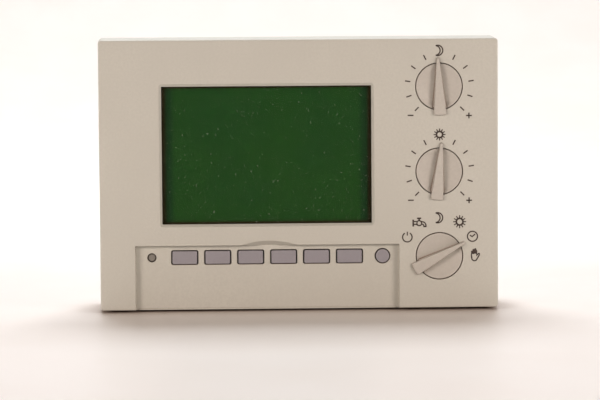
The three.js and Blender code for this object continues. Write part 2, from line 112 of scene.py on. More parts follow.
RECT_KEYS = [f"key_{i}" for i in range(1, 7)]
KEY_GAP = 0.35 * MM
KEY_GAP_ENDS = 1.3 * KEY_GAP  # at the two short sides of a rectangular key
KEY_GAP_LONG = 0.9 * KEY_GAP  # at its two long sides
RESET_GAP = 0.6 * KEY_GAP
KEY_COLLAR = 0.65 * MM  # how far a key's collar reaches past its cap
KEY_ROOM_X = 0.65 * MM  # how far the CAD key reaches past the cap, each side
KEY_ROOM = 0.85 * MM  # the same above and below, and all round on a round key
KEY_CORNER = 0.5 * MM
KEY_ROUND = 0.28 * MM
KEY_SLIP = 0.3 * MM  # between its collar and the recess's floor
KEY_STEM_HALF = 0.9 * MM

KNOBS = {"night": -2.1, "day": 5.0, "mode": 62.0}  # where each wing points, clockwise from up
KNOB_RADIUS = 8.3 * MM
KNOB_GAP = 0.3 * MM
KNOB_REAR = FACE + 2.8 * MM
HUB_RADIUS = 4.5 * MM
HUB_LENGTH = 4.7 * MM
BORE_RADIUS = 3.3 * MM
BORE_FLAT = 2.6 * MM  # from the axis to the flat side of the bore
WELL_BOTTOM = KNOB_REAR + 0.5 * MM
CUP_WALL = 2 * MM
CUP_BASE = 1.6 * MM

BOSS_RADIUS = 3 * MM
BOSS_HOLE = 1.3 * MM
BOSS_SOLID = 6 * MM  # the screw hole in a boss stops this far behind the face


def knob_axis(name):
    """(x, z) of a knob's axis, which is its joint's."""
    joint = next(j for j in frame["joints"] if j["name"] == f"{name}_turn")
    return joint["pos_m"][0], joint["pos_m"][2]


def key_cap(name):
    """(x, z, width, height) of a key's cap, which is smaller all round than its CAD node."""
    low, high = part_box(name)
    place = middle(name)
    room_x = KEY_ROOM_X if name in RECT_KEYS else KEY_ROOM
    return place.x, place.z, high.x - low.x - 2 * room_x, high.z - low.z - 2 * KEY_ROOM


# ---- Meshes --------------------------------------------------------------------------------------


def rounded_rectangle(x, z, width, height, radius, steps=6):
    """An outline as a function of how far it is inset, with the same number of points each time."""
    smallest = 0.001 * MM

    def outline(inset):
        r = max(radius - inset, smallest)
        w = width / 2 - inset - r
        h = height / 2 - inset - r
        points = []
        for quarter, (sx, sz) in enumerate(((1, 1), (-1, 1), (-1, -1), (1, -1))):
            for i in range(steps + 1):
                a = (quarter + i / steps) * math.pi / 2
                points.append((x + sx * w + r * math.cos(a), z + sz * h + r * math.sin(a)))
        return points

    return outline


def circle(x, z, radius, steps=96):
    """A round outline, as a function of how far it is inset."""

    def outline(inset):
        turns = [2 * math.pi * i / steps for i in range(steps)]
        r = radius - inset
        return [(x + r * math.cos(a), z + r * math.sin(a)) for a in turns]

    return outline


def round_edge(y, radius, steps=4, sign=1):
    """(inset, y) steps of a rounded edge that starts on the flat at depth y and ends on the side."""
    turns = [math.pi / 2 * i / steps for i in range(steps + 1)]
    return [(sign * radius * (1 - math.sin(a)), y + radius * (1 - math.cos(a))) for a in turns]


def mesh_object(name, bm):
    """An object in the scene made of bm, which is used up."""
    bmesh.ops.recalc_face_normals(bm, faces=bm.faces)
    mesh = bpy.data.meshes.new(name)
    bm.to_mesh(mesh)
    bm.free()
    obj = bpy.data.objects.new(name, mesh)
    bpy.context.scene.collection.objects.link(obj)
    return obj


def skin(bm, rings):
    """Closes a run of rings, each with the same number of points, into one solid."""
    rows = [[bm.verts.new(p) for p in ring] for ring in rings]
    count = len(rows[0])
    for a, b in zip(rows, rows[1:]):
        for i in range(count):
            j = (i + 1) % count
            bm.faces.new((a[i], a[j], b[j], b[i]))
    bm.faces.new(reversed(rows[0]))
    bm.faces.new(rows[-1])


def loft(bm, outline, profile):
    """A solid through one outline at the insets and depths of a profile of (inset, y)."""
    skin(bm, [[(x, y, z) for x, z in outline(inset)] for inset, y in profile])


def solid(name, *parts):
    """An object made of one or more lofts that don't touch, each given as (outline, profile)."""
    bm = bmesh.new()
    for outline, profile in parts:
        loft(bm, outline, profile)
    return mesh_object(name, bm)


def straight(y0, y1):
    """The profile of a solid with upright sides."""
    return [(0, y0), (0, y1)]


def apply_modifiers(obj):
    """Replaces the object's mesh by what its modifiers make of it."""
    bpy.context.view_layer.update()
    evaluated = obj.evaluated_get(bpy.context.evaluated_depsgraph_get())
    mesh = bpy.data.meshes.new_from_object(evaluated)
    obj.modifiers.clear()
    old = obj.data
    obj.data = mesh
    bpy.data.meshes.remove(old)


def combine(obj, tool, operation):
    """Joins obj with tool by UNION, or cuts tool out of it by DIFFERENCE. The tool is used up."""
    modifier = obj.modifiers.new("combine", "BOOLEAN")
    modifier.object = tool
    modifier.operation = operation
    modifier.solver = "EXACT"
    apply_modifiers(obj)
    bpy.data.objects.remove(tool)


def merge_doubles(obj):
    """Drops the doubled points and the faces without area that a boolean left."""
    near = 0.002 * MM
    bm = bmesh.new()
    bm.from_mesh(obj.data)
    bmesh.ops.remove_doubles(bm, verts=bm.verts, dist=near)
    bmesh.ops.dissolve_degenerate(bm, edges=bm.edges, dist=near)
    bm.to_mesh(obj.data)
    bm.free()


FLAT_WEIGHT = 80  # how strongly large faces keep the smooth shading flat
SHARP_ANGLE = math.radians(38)


def smooth(obj):
    """Smooth shading up to an angle, with the flats kept flat."""
    obj.data.shade_smooth()
    obj.data.set_sharp_from_angle(angle=SHARP_ANGLE)
    weighted = obj.modifiers.new("flat_faces", "WEIGHTED_NORMAL")
    weighted.keep_sharp = True
    weighted.weight = FLAT_WEIGHT


def piece(obj, material, body=CASE, stands_for=()):
    """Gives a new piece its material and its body."""
    obj.data.materials.clear()
    obj.data.materials.append(material)
    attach(obj, body)
    if stands_for:
        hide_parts(*stands_for)


# ---- Materials -----------------------------------------------------------------------------------


def srgb(red, green, blue):
    """A colour given as 0 to 255 on a screen, as the linear colour that a shader takes."""
    values = []
    for c in (red, green, blue):
        c /= 255
        values.append(c / 12.92 if c <= 0.04045 else ((c + 0.055) / 1.055) ** 2.4)
    return (*values, 1.0)


class Shader:
    """A material's nodes, added one at a time."""

    def __init__(self, name):
        self.material = bpy.data.materials.new(name)
        self.material.use_nodes = True
        self.tree = self.material.node_tree
        self.surface = self.tree.nodes["Principled BSDF"]
        self.output = self.tree.nodes["Material Output"]
        self.place = self.add("ShaderNodeTexCoord").outputs["Object"]

    def add(self, kind, **values):
        """A node with the named settings, each an attribute of the node or one of its inputs."""
        node = self.tree.nodes.new(kind)
        for key, value in values.items():
            if hasattr(node, key):
                setattr(node, key, value)
            else:
                node.inputs[key.replace("_", " ")].default_value = value
        return node

    def link(self, source, target):
        self.tree.links.new(source, target)

    def noise(self, size, detail=2.0, roughness=0.5, distortion=0.0, place=None):
        """Noise whose patches are about size metres across, from 0 to 1."""
        node = self.add("ShaderNodeTexNoise", Scale=1 / size, Detail=detail, Roughness=roughness)
        node.inputs["Distortion"].default_value = distortion
        self.link(place or self.place, node.inputs["Vector"])
        return node.outputs["Fac"]

    def stretch(self, x, y, z):
        """The place, scaled by axis, for patterns that run in one direction."""
        node = self.add("ShaderNodeMapping")
        node.inputs["Scale"].default_value = (x, y, z)
        self.link(self.place, node.inputs["Vector"])
        return node.outputs["Vector"]

    def ramp(self, value, low, high, to_low=0.0, to_high=1.0):
        """value, mapped smoothly from low..high to to_low..to_high."""
        node = self.add("ShaderNodeMapRange", interpolation_type="SMOOTHSTEP")
        ends = {"From Min": low, "From Max": high, "To Min": to_low, "To Max": to_high}
        for name, number in ends.items():
            node.inputs[name].default_value = number
        self.link(value, node.inputs["Value"])
        return node.outputs["Result"]

    def maths(self, operation, a, b):
        node = self.add("ShaderNodeMath", operation=operation)
        for socket, value in zip(node.inputs, (a, b)):
            if isinstance(value, (int, float)):
                socket.default_value = value
            else:
                self.link(value, socket)
        return node.outputs[0]

    def mix(self, share, a, b):
        """Colour a, with a share of colour b."""
        node = self.add("ShaderNodeMix", data_type="RGBA", blend_type="MIX")
        factor, first, second = node.inputs[0], node.inputs[6], node.inputs[7]
        for socket, value in ((factor, share), (first, a), (second, b)):
            if isinstance(value, (int, float, tuple)):
                socket.default_value = value
            else:
                self.link(value, socket)
        return node.outputs[2]

    def crevice(self, distance):
        """1 in the open and 0 deep in a corner or gap, within distance metres."""
        node = self.add("ShaderNodeAmbientOcclusion", samples=6)
        node.inputs["Distance"].default_value = distance
        return node.outputs["AO"]

    def bump(self, height, distance):
        node = self.add("ShaderNodeBump", Strength=1.0, Distance=distance)
        self.link(height, node.inputs["Height"])
        return node.outputs["Normal"]

    def finish(self, colour, roughness, normal=None):
        """Sets the surface and gives back the material."""
        for value, name in ((colour, "Base Color"), (roughness, "Roughness"), (normal, "Normal")):
            if value is None:
                continue
            if isinstance(value, (int, float, tuple)):
                self.surface.inputs[name].default_value = value
            else:
                self.link(value, self.surface.inputs[name])
        return self.material


def shade(colour, factor):
    """A colour made lighter or darker."""
    return (*(c * factor for c in colour[:3]), 1.0)


def plastic(name, colour, roughness, grain=0.28 * MM, depth=0.006 * MM, shade_and_grime=None):
    """Moulded plastic: a fine grain, soft patches of colour, and painted shade with some grime that
    darkens its corners and gaps.
    """
    s = Shader(name)
    patches = s.ramp(s.noise(38 * MM, detail=3), 0.3, 0.7)
    tone = s.mix(patches, shade(colour, 0.975), shade(colour, 1.02))
    fine = s.ramp(s.noise(0.9 * MM, detail=3, roughness=0.6), 0.3, 0.7)
    tone = s.mix(fine, tone, shade(colour, 0.955))
    # Painted shade with some grime: a brown tone that deepens into corners and gaps, driven by ambient
    # occlusion.
    if shade_and_grime:
        shade_and_grime_mask = s.ramp(s.crevice(0.7 * MM), 0.25, 0.82, 0.88, 0.0)
        tone = s.mix(shade_and_grime_mask, tone, shade_and_grime)
    grains = s.noise(grain, detail=2, roughness=0.55)
    rough = s.ramp(s.noise(11 * MM, detail=4), 0.3, 0.7, roughness - 0.06, roughness + 0.06)
    return s.finish(tone, rough, s.bump(grains, depth))


# Brown tones for the painted shade and grime in the plastics' corners and gaps.
CASE_SHADE_AND_GRIME = srgb(126, 82, 46)
KEY_SHADE_AND_GRIME = srgb(52, 34, 24)
CASE_PLASTIC = plastic("case_plastic", srgb(202, 201, 192), 0.52, shade_and_grime=CASE_SHADE_AND_GRIME)
PLATE_PLASTIC = plastic("plate_plastic", srgb(196, 186, 170), 0.6, grain=0.5 * MM)
KNOB_PLASTIC = plastic(
    "knob_plastic", srgb(195, 191, 183), 0.46, grain=0.2 * MM, depth=0.003 * MM, shade_and_grime=CASE_SHADE_AND_GRIME
)
KEY_PLASTIC = plastic(
    "key_plastic", srgb(154, 151, 158), 0.4, grain=0.22 * MM, depth=0.003 * MM, shade_and_grime=KEY_SHADE_AND_GRIME
)
RESET_PLASTIC = plastic("reset_plastic", srgb(138, 134, 128), 0.5, shade_and_grime=KEY_SHADE_AND_GRIME)
HOLDER_PLASTIC = plastic("holder_plastic", srgb(58, 50, 44), 0.6)
CHIP_PLASTIC = plastic("chip_plastic", srgb(36, 36, 38), 0.45, grain=0.12 * MM, depth=0.004 * MM)
PLUNGER_PLASTIC = plastic("plunger_plastic", srgb(140, 143, 138), 0.5)
TERMINAL_PLASTIC = plastic("terminal_plastic", srgb(138, 142, 138), 0.48, grain=0.4 * MM)
RELAY_PLASTIC = plastic("relay_plastic", srgb(42, 79, 140), 0.3, depth=0.001 * MM)
RUBBER = plastic("silicone_rubber", srgb(46, 46, 48), 0.8, grain=0.15 * MM)


def ink_material():
    """Dark brown ink, a little worn."""
    s = Shader("printed_ink")
    thin = s.ramp(s.noise(0.5 * MM, detail=3), 0.35, 0.75)
    tone = s.mix(thin, srgb(52, 42, 38), srgb(80, 66, 58))
    return s.finish(tone, s.ramp(thin, 0, 1, 0.42, 0.55))


def steel_material(name, colour, streak):
    """Plated steel with fine turning marks and dull patches."""
    s = Shader(name)
    marks = s.noise(0.4 * MM, detail=3, place=s.stretch(*streak))
    tone = s.mix(s.ramp(marks, 0.3, 0.7), shade(colour, 0.85), colour)
    rough = s.ramp(s.noise(2 * MM, detail=3), 0.3, 0.7, 0.26, 0.42)
    s.surface.inputs["Metallic"].default_value = 1.0
    return s.finish(tone, rough, s.bump(marks, 0.003 * MM))


def board_material():
    """Solder mask over copper tracks, which show as slightly raised, lighter runs."""
    s = Shader("circuit_board")
    track_scale = 90.0
    grid = s.add("ShaderNodeTexBrick", Scale=track_scale, offset=0.5)
    turned = s.add("ShaderNodeMapping")
    turned.inputs["Rotation"].default_value = (math.pi / 2, 0, 0)
    s.link(s.place, turned.inputs["Vector"])
    s.link(turned.outputs["Vector"], grid.inputs["Vector"])
    grid.inputs["Mortar Size"].default_value = 0.06
    tracks = s.maths("SUBTRACT", 1.0, grid.outputs["Fac"])
    tone = s.mix(tracks, srgb(70, 120, 62), srgb(48, 88, 46))
    tone = s.mix(s.ramp(s.noise(9 * MM, detail=3), 0.35, 0.65), tone, srgb(56, 98, 50))
    return s.finish(tone, 0.38, s.bump(tracks, 0.03 * MM))


def display_material():
    """The display cell, switched off: dark green, dimmer at its two sides, and a painted brown shade
    along its edges where the opening's walls shade it.
    """
    s = Shader("display_green")
    axes = s.add("ShaderNodeSeparateXYZ")
    s.link(s.place, axes.inputs[0])
    off_middle = s.maths("ABSOLUTE", s.maths("SUBTRACT", axes.outputs["X"], OPENING_MIDDLE.x), 0)
    up = axes.outputs["Z"]
    half = OPENING_WIDTH / 2
    low = OPENING_MIDDLE.z - OPENING_HEIGHT / 2
    high = low + OPENING_HEIGHT
    side = s.ramp(off_middle, half - 4.5 * MM, half - 3.2 * MM)
    cloud = s.ramp(s.noise(22 * MM, detail=2), 0.3, 0.7)
    tone = s.mix(cloud, srgb(29, 72, 24), srgb(26, 69, 26))
    tone = s.mix(side, tone, srgb(22, 60, 28))
    # Painted shade: brown bands at the two sides, the foot and the head, where the opening's walls shade
    # the display.
    edge = s.ramp(off_middle, half - 1.9 * MM, half - 0.7 * MM)
    foot = s.ramp(up, low + 0.3 * MM, low + 1.3 * MM, 1.0, 0.0)
    head = s.ramp(up, high - 1.1 * MM, high - 0.4 * MM)
    for opening_shade in (edge, foot, head):
        tone = s.mix(opening_shade, tone, srgb(44, 36, 14))
    s.surface.inputs["Specular IOR Level"].default_value = 0.1
    return s.finish(tone, s.ramp(s.noise(6 * MM), 0.3, 0.7, 0.3, 0.42))


def pane_material():
    """The clear pane: it lets the display through, mirrors a little, and carries dust and scratches."""
    s = Shader("clear_pane")
    clear = s.add("ShaderNodeBsdfTransparent")
    clear.inputs["Color"].default_value = (0.97, 0.985, 0.97, 1)
    dust = s.ramp(s.noise(0.8 * MM, detail=0.0), 0.785, 0.81)
    scratches = s.noise(1.1 * MM, detail=1, place=s.stretch(0.06, 1, 1.5), distortion=0.3)
    lines = s.ramp(scratches, 0.79, 0.82)
    marks = s.maths("MAXIMUM", s.maths("MULTIPLY", dust, 0.2), s.maths("MULTIPLY", lines, 0.035))
    film = s.maths("ADD", marks, 0.004)
    blend = s.add("ShaderNodeMixShader")
    s.link(film, blend.inputs[0])
    s.link(clear.outputs[0], blend.inputs[1])
    s.link(s.surface.outputs[0], blend.inputs[2])
    s.link(blend.outputs[0], s.output.inputs["Surface"])
    return s.finish(s.mix(dust, srgb(225, 232, 222), srgb(205, 215, 200)), 0.18)


INK = ink_material()
STEEL = steel_material("plated_steel", srgb(190, 190, 186), (1, 0.1, 1))
SHAFT_STEEL = steel_material("turned_shaft", srgb(184, 184, 180), (0.1, 1, 0.1))
BOARD = board_material()
DISPLAY = display_material()
PANE = pane_material()

# ---- Front cover ---------------------------------------------------------------------------------


def recess_outline():
    """The key recess, reaching well past the cover's lower edge, where it is open."""
    low = -HEIGHT
    height = RECESS_TOP - low
    return rounded_rectangle(RECESS_MIDDLE, (RECESS_TOP + low) / 2, RECESS_WIDTH, height, RECESS_CORNER)


def cover_blank():
    """The hollow box of the cover, which grows towards its rear by its draft."""
    outline = rounded_rectangle(0, 0, WIDTH, HEIGHT, CORNER, steps=8)
    rim = 0.25 * MM
    profile = round_edge(FACE, EDGE_ROUND, steps=6)
    profile += [(-DRAFT, COVER_REAR - rim), (rim - DRAFT, COVER_REAR)]
    cover = solid("cover", (outline, profile))
    inside = rounded_rectangle(0, 0, WIDTH - 2 * SKIN, HEIGHT - 2 * SKIN, CORNER / 2)
    hollow = solid("hollow", (inside, [(0, FACE_REAR), (0, COVER_REAR + MM)]))
    combine(cover, hollow, "DIFFERENCE")
    return cover


def cover_fillings():
    """What stands behind the face: the recess's tray, the three knob cups and four screw bosses."""
    into_face = FACE_REAR - 0.4 * MM
    low = -HEIGHT / 2 + SKIN / 2
    top = RECESS_TOP + RECESS_WALL
    tray = rounded_rectangle(
        RECESS_MIDDLE, (top + low) / 2, RECESS_WIDTH + 2 * RECESS_WALL, top - low, 0.5 * MM
    )
    parts = [(tray, straight(into_face, RECESS_BACK))]
    for name in KNOBS:
        cup = circle(*knob_axis(name), KNOB_RADIUS + KNOB_GAP + CUP_WALL)
        parts.append((cup, straight(into_face, WELL_BOTTOM + CUP_BASE)))
    board_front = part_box("circuit_board")[0].y
    for i in range(1, 5):
        place = middle(f"board_screw_{i}")
        boss = circle(place.x, place.z, BOSS_RADIUS, 32)
        parts.append((boss, straight(into_face, board_front)))
    return solid("fillings", *parts)


def face_cutters():
    """The display opening, the knob wells and the recess, each with an eased edge, and the screw holes.
    """
    ease = 0.16 * MM
    front = FACE - MM
    opening = rounded_rectangle(
        OPENING_MIDDLE.x, OPENING_MIDDLE.z, OPENING_WIDTH, OPENING_HEIGHT, OPENING_CORNER, steps=3
    )
    bevel = OPENING_CHAMFER
    parts = [(opening, [(-bevel, front), (-bevel, FACE), (0, FACE + bevel), (0, FACE_REAR + MM)])]
    eased = [(-ease, front), *round_edge(FACE, ease, steps=3, sign=-1)]
    to_hub = KNOB_RADIUS - HUB_RADIUS
    well_profile = [*eased, (0, WELL_BOTTOM), (to_hub, WELL_BOTTOM), (to_hub, COVER_REAR)]
    for name in KNOBS:
        parts.append((circle(*knob_axis(name), KNOB_RADIUS + KNOB_GAP), well_profile))
    for i in range(1, 5):
        place = middle(f"board_screw_{i}")
        hole = circle(place.x, place.z, BOSS_HOLE, 24)
        parts.append((hole, straight(FACE + BOSS_SOLID, COVER_REAR)))
    fillet = RECESS_FILLET
    corner = [(fillet * x, RECESS_FLOOR - fillet * y) for x, y in ((0, 1), (0.3, 0.3), (1, 0))]
    parts.append((recess_outline(), [*eased, *corner]))
    return solid("face_cutters", *parts)


def notch_cutter():
    """The fingernail slope: a shallow arc in the face that runs down to the recess's top edge."""
    rings = []
    steps = 24
    ease, overlap = 0.12 * MM, 0.8 * MM
    # The share of the notch's rise that is left at each depth.
    for y, share in ((FACE - MM, 1.06), (FACE, 1.06), (FACE + ease, 0.99), (RECESS_FLOOR, -0.04)):
        half = NOTCH_HALF_WIDTH * math.sqrt(max(share, 0.02))
        rise = NOTCH_RISE * share
        ring = []
        for i in range(steps + 1):
            t = 2 * i / steps - 1
            ring.append((NOTCH_X + half * t, y, RECESS_TOP + rise * (1 - t * t)))
        low = RECESS_TOP - overlap
        rings.append([*ring, (NOTCH_X + half, y, low), (NOTCH_X - half, y, low)])
    bm = bmesh.new()
    skin(bm, rings)
    return mesh_object("notch", bm)


def key_hole_cutters():
    """The holes in the recess's floor for the keys and the reset pin, each a gap larger than its cap."""
    ease = 0.12 * MM
    profile = [(-ease, RECESS_FLOOR - 0.5 * MM), *round_edge(RECESS_FLOOR, ease, steps=2, sign=-1)]
    profile.append((0, RECESS_BACK + MM))
    parts = []
    for name in RECT_KEYS:
        x, z, wide, tall = key_cap(name)
        grown = (wide + 2 * KEY_GAP_ENDS, tall + 2 * KEY_GAP_LONG, KEY_CORNER + 0.5 * KEY_GAP)
        parts.append((rounded_rectangle(x, z, *grown, steps=5), profile))
    for name, gap in (("round_key", KEY_GAP), ("reset_pin", RESET_GAP)):
        x, z, wide, _ = key_cap(name)
        parts.append((circle(x, z, wide / 2 + gap, 48), profile))
    return solid("key_holes", *parts)


def recess_rib():
    """The low rib along the recess's lower edge."""
    tall, proud, ease = 0.5 * MM, 0.3 * MM, 0.12 * MM
    low = -HEIGHT / 2 - 0.1 * MM
    width = RECESS_WIDTH - 2 * MM
    outline = rounded_rectangle(RECESS_MIDDLE, low + tall / 2, width, tall, 0.05 * MM, steps=2)
    front = RECESS_FLOOR - proud
    return solid("rib", (outline, [(ease, front), (0, front + ease), (0, RECESS_FLOOR + MM)]))


def build_front_cover():
    cover = cover_blank()
    combine(cover, cover_fillings(), "UNION")
    combine(cover, face_cutters(), "DIFFERENCE")
    combine(cover, notch_cutter(), "DIFFERENCE")
    combine(cover, key_hole_cutters(), "DIFFERENCE")
    combine(cover, recess_rib(), "UNION")
    merge_doubles(cover)
    smooth(cover)
    cover.name = "face_cover"
    piece(cover, CASE_PLASTIC, stands_for=["front_cover"])


# ---- Knobs ---------------------------------------------------------------------------------------

WING_TIP = 10.35 * MM  # from the knob's axis to the narrow end
WING_TAIL = 10.4 * MM  # and to the wide end
WING_TIP_HALF = 0.5 * MM
WING_TAIL_HALF = 2.36 * MM
WING_TOP = 1.2 * MM  # how far its top stands in front of the face
WING_LIFT = 0.3 * MM  # and how far its overhanging ends do
DISH = 1.45 * MM  # how deep the disc sinks beside the wing


def wing_half_width(z):
    """Half the wing's width at its foot, z along the wing from the knob's axis towards the tip."""
    share = (z + WING_TAIL) / (WING_TIP + WING_TAIL)
    return WING_TAIL_HALF + (WING_TIP_HALF - WING_TAIL_HALF) * share


def wing_ring(y, tip, tail, inset):
    """The wing's outline at depth y, with its round ends tip and tail away from the knob's axis."""
    points = []
    for reach, half, side, steps in ((tip, WING_TIP_HALF, 1, 8), (tail, WING_TAIL_HALF, -1, 14)):
        spread = math.asin((half - inset) / reach)
        for i in range(steps + 1):
            a = spread * (1 - 2 * i / steps)
            points.append((side * reach * math.sin(a), y, side * reach * math.cos(a)))
    return points


def wing_mesh():
    """The wing above the face, and its foot down in the disc."""
    top = FACE - WING_TOP
    ease = 0.2 * MM
    slope, tip_slope, tail_slope = 0.12 * MM, 0.25 * MM, 0.05 * MM
    rings = [wing_ring(FACE - WING_LIFT, WING_TIP, WING_TAIL, 0)]
    for inset, y in reversed(round_edge(top, ease, steps=4)):
        tip = WING_TIP - tip_slope - 2 * inset
        tail = WING_TAIL - tail_slope - 2 * inset
        rings.append(wing_ring(y, tip, tail, slope + inset))
    blade = bmesh.new()
    skin(blade, rings)
    foot = bmesh.new()
    reach = KNOB_RADIUS - 0.5 * MM
    inside_blade = FACE - WING_LIFT - 0.3 * MM
    skin(foot, [wing_ring(y, reach, reach, 0) for y in (inside_blade, KNOB_REAR - MM)])
    wing = mesh_object("wing", blade)
    combine(wing, mesh_object("foot", foot), "UNION")
    return wing


def dip(x, z):
    """How far the disc sinks below the face: deepest along the wing, and nothing at the rim."""
    beside = abs(x) - wing_half_width(z)
    room = math.sqrt(max(KNOB_RADIUS**2 - z * z, 0)) - wing_half_width(z)
    share = min(max(beside / max(room, 0.01 * MM), 0), 1)
    rim = 1 - (math.hypot(x, z) / KNOB_RADIUS) ** 8
    return DISH * (1 - share) * max(rim, 0)


def disc_mesh():
    """The disc, its hub and the bore for the shaft, as rings about the knob's axis."""
    count = 96
    turns = [2 * math.pi * i / count for i in range(count)]
    ease = 0.22 * MM
    hub_end = KNOB_REAR + HUB_LENGTH
    dished = 24
    rings = []
    for i in range(1, dished + 1):
        r = (KNOB_RADIUS - ease) * i / dished
        flat = [(r * math.cos(a), r * math.sin(a)) for a in turns]
        rings.append([(x, FACE + dip(x, z), z) for x, z in flat])
    profile = [(KNOB_RADIUS - inset, y) for inset, y in round_edge(FACE, ease, steps=4)[1:]]
    profile += [(KNOB_RADIUS, KNOB_REAR), (HUB_RADIUS, KNOB_REAR), (HUB_RADIUS, hub_end)]
    for r, y in profile:
        rings.append([(r * math.cos(a), y, r * math.sin(a)) for a in turns])
    bore = [(min(BORE_RADIUS * math.cos(a), BORE_FLAT), BORE_RADIUS * math.sin(a)) for a in turns]
    for y in (hub_end, KNOB_REAR):
        rings.append([(x, y, z) for x, z in bore])
    bm = bmesh.new()
    skin(bm, rings)
    return mesh_object("disc", bm)


def build_knobs():
    for name, angle in KNOBS.items():
        knob = disc_mesh()
        combine(knob, wing_mesh(), "UNION")
        merge_doubles(knob)
        x, z = knob_axis(name)
        turned = Matrix.Rotation(math.radians(angle), 4, "Y")
        knob.data.transform(Matrix.Translation((x, 0, z)) @ turned)
        smooth(knob)
        knob.name = f"{name}_knob"
        piece(knob, KNOB_PLASTIC, body=f"knob_{name}", stands_for=[f"knob_{name}"])


# ---- Keys ----------------------------------------------------------------------------------------


def build_keys():
    """Each key: an eased cap, a collar behind the recess's floor, and a stem down to its switch."""
    for name in (*RECT_KEYS, "round_key", "reset_pin"):
        x, z, wide, tall = key_cap(name)
        low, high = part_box(name)
        collar = RECESS_BACK + KEY_SLIP
        collar_rear = collar + MM
        stem = min(wide, tall) / 2 - KEY_STEM_HALF
        profile = round_edge(low.y, KEY_ROUND, steps=4)
        profile += [(0, collar), (-KEY_COLLAR, collar), (-KEY_COLLAR, collar_rear)]
        profile += [(stem, collar_rear), (stem, high.y)]
        if name in RECT_KEYS:
            outline = rounded_rectangle(x, z, wide, tall, KEY_CORNER)
        else:
            outline = circle(x, z, wide / 2, 48)
        key = solid(f"{name}_cap", (outline, profile))
        smooth(key)
        reset = name == "reset_pin"
        finish = RESET_PLASTIC if reset else KEY_PLASTIC
        piece(key, finish, body=name, stands_for=[name])


# ---- Printed marks -------------------------------------------------------------------------------

INK_THICKNESS = 0.03 * MM


def ribbon(points, width):
    """The two sides of a stroke of one width along a run of points."""
    last = len(points) - 1
    left, right = [], []
    for i, p in enumerate(points):
        p = Vector(p)
        before = Vector(points[i - 1]) if i else p
        after = Vector(points[i + 1]) if i < last else p
        into = (p - before).normalized() if (p - before).length else (after - p).normalized()
        out = (after - p).normalized() if (after - p).length else into
        along = (into + out).normalized() if (into + out).length > 1e-6 else out
        side = Vector((-along.y, along.x))
        miter = 1 / max(side.dot(Vector((-into.y, into.x))), 0.5)
        left.append(p + side * width / 2 * miter)
        right.append(p - side * width / 2 * miter)
    return left, right


def arc(x, z, radius, start, stop, steps=24):
    """Points on an arc, its angles in degrees anticlockwise from the right."""
    turns = [math.radians(start + (stop - start) * i / steps) for i in range(steps + 1)]
    return [(x + radius * math.cos(a), z + radius * math.sin(a)) for a in turns]


def ink(name, x, z, strokes=(), fills=()):
    """Printed strokes of (points, width) and filled outlines, in millimetres about x and z."""
    bm = bmesh.new()
    front = FACE - INK_THICKNESS
    back = FACE

    def place(p, y):
        return bm.verts.new((x + p[0] * MM, y, z + p[1] * MM))

    for points, width in strokes:
        left, right = ribbon(points, width)
        edges = ((left, front), (right, front), (right, back), (left, back))
        rows = [[place(p, y) for p in side] for side, y in edges]
        for a, b in zip(rows, [*rows[1:], rows[0]]):
            for i in range(len(points) - 1):
                bm.faces.new((a[i], a[i + 1], b[i + 1], b[i]))
        for end in (0, -1):
            bm.faces.new([row[end] for row in rows])
    for outline in fills:
        top = [place(p, front) for p in outline]
        base = [place(p, back) for p in outline]
        count = len(outline)
        bm.faces.new(top)
        bm.faces.new(reversed(base))
        for i in range(count):
            j = (i + 1) % count
            bm.faces.new((top[i], base[i], base[j], top[j]))
    piece(mesh_object(name, bm), INK)


LINE = 0.46  # stroke width of the printed marks, in millimetres as in ink()
THIN_LINE = 0.44
BOLD_LINE = 0.55


def moon(name, x, z):
    """An outlined crescent, open towards the left."""
    outer = arc(-0.45, 0, 1.85, -112, 112)
    inner = arc(-1.27, 0, 1.72, -85, 85)
    horns = [[outer[end], inner[end]] for end in (0, -1)]
    ink(name, x, z, strokes=[(points, LINE) for points in (outer, inner, *horns)])


def sun(name, x, z, size=1.12):
    """A ring with twelve rays."""
    rays = []
    for i in range(12):
        a = math.radians(30 * i)
        rays.append(([(size * r * math.cos(a), size * r * math.sin(a)) for r in (1.2, 2.1)], 0.38))
    ink(name, x, z, strokes=[(arc(0, 0, size * 1.08, 0, 360, 40), 0.62), *rays])


def power(name, x, z):
    """A ring that is open at the top, with a bar in the opening."""
    ink(name, x, z, strokes=[(arc(0, 0, 1.72, 122, 418, 40), LINE), ([(0, 0.6), (0, 2.0)], 0.42)])


def clock(name, x, z):
    """A clock face with two hands."""
    hands = [(-0.95, 0.42), (-0.1, -0.1), (0.95, 0.8)]
    ink(name, x, z, strokes=[(arc(0, 0, 1.82, 0, 360, 48), LINE), (hands, THIN_LINE)])


def tap(name, x, z):
    """A tap: flange, pipe, body with its handle, and a spout that curves down."""
    flange = [(-2.55, -1.25), (-1.95, -1.25), (-1.95, 1.25), (-2.55, 1.25)]
    pipe_top = [(-1.95, 0.55), (-0.9, 0.55)]
    pipe_foot = [(-1.95, -0.45), (-1.1, -0.45), (-0.6, -0.8)]
    body = arc(-0.05, -0.1, 0.85, 150, 395, 24)
    shoulder = [(-0.95, 0.5), (-0.1, 0.95), (0.75, 0.5)]
    neck = [(-0.1, 0.85), (-0.1, 1.7)]
    handle = [(-0.85, 1.72), (0.65, 1.72)]
    outer = [(0.75, 0.5), *arc(0.95, -0.95, 1.42, 80, 0, 12), (2.4, -1.3)]
    inner = [(0.85, -0.3), *arc(0.95, -1.05, 0.62, 80, 10, 8), (1.6, -1.3)]
    mouth = [(1.45, -1.25), (2.5, -1.25)]
    thin = [(points, THIN_LINE) for points in (pipe_top, pipe_foot, body, outer, inner)]
    bold = [(points, BOLD_LINE) for points in (neck, handle, mouth)]
    ink(name, x, z, strokes=[*thin, (shoulder, LINE), *bold], fills=[flange])


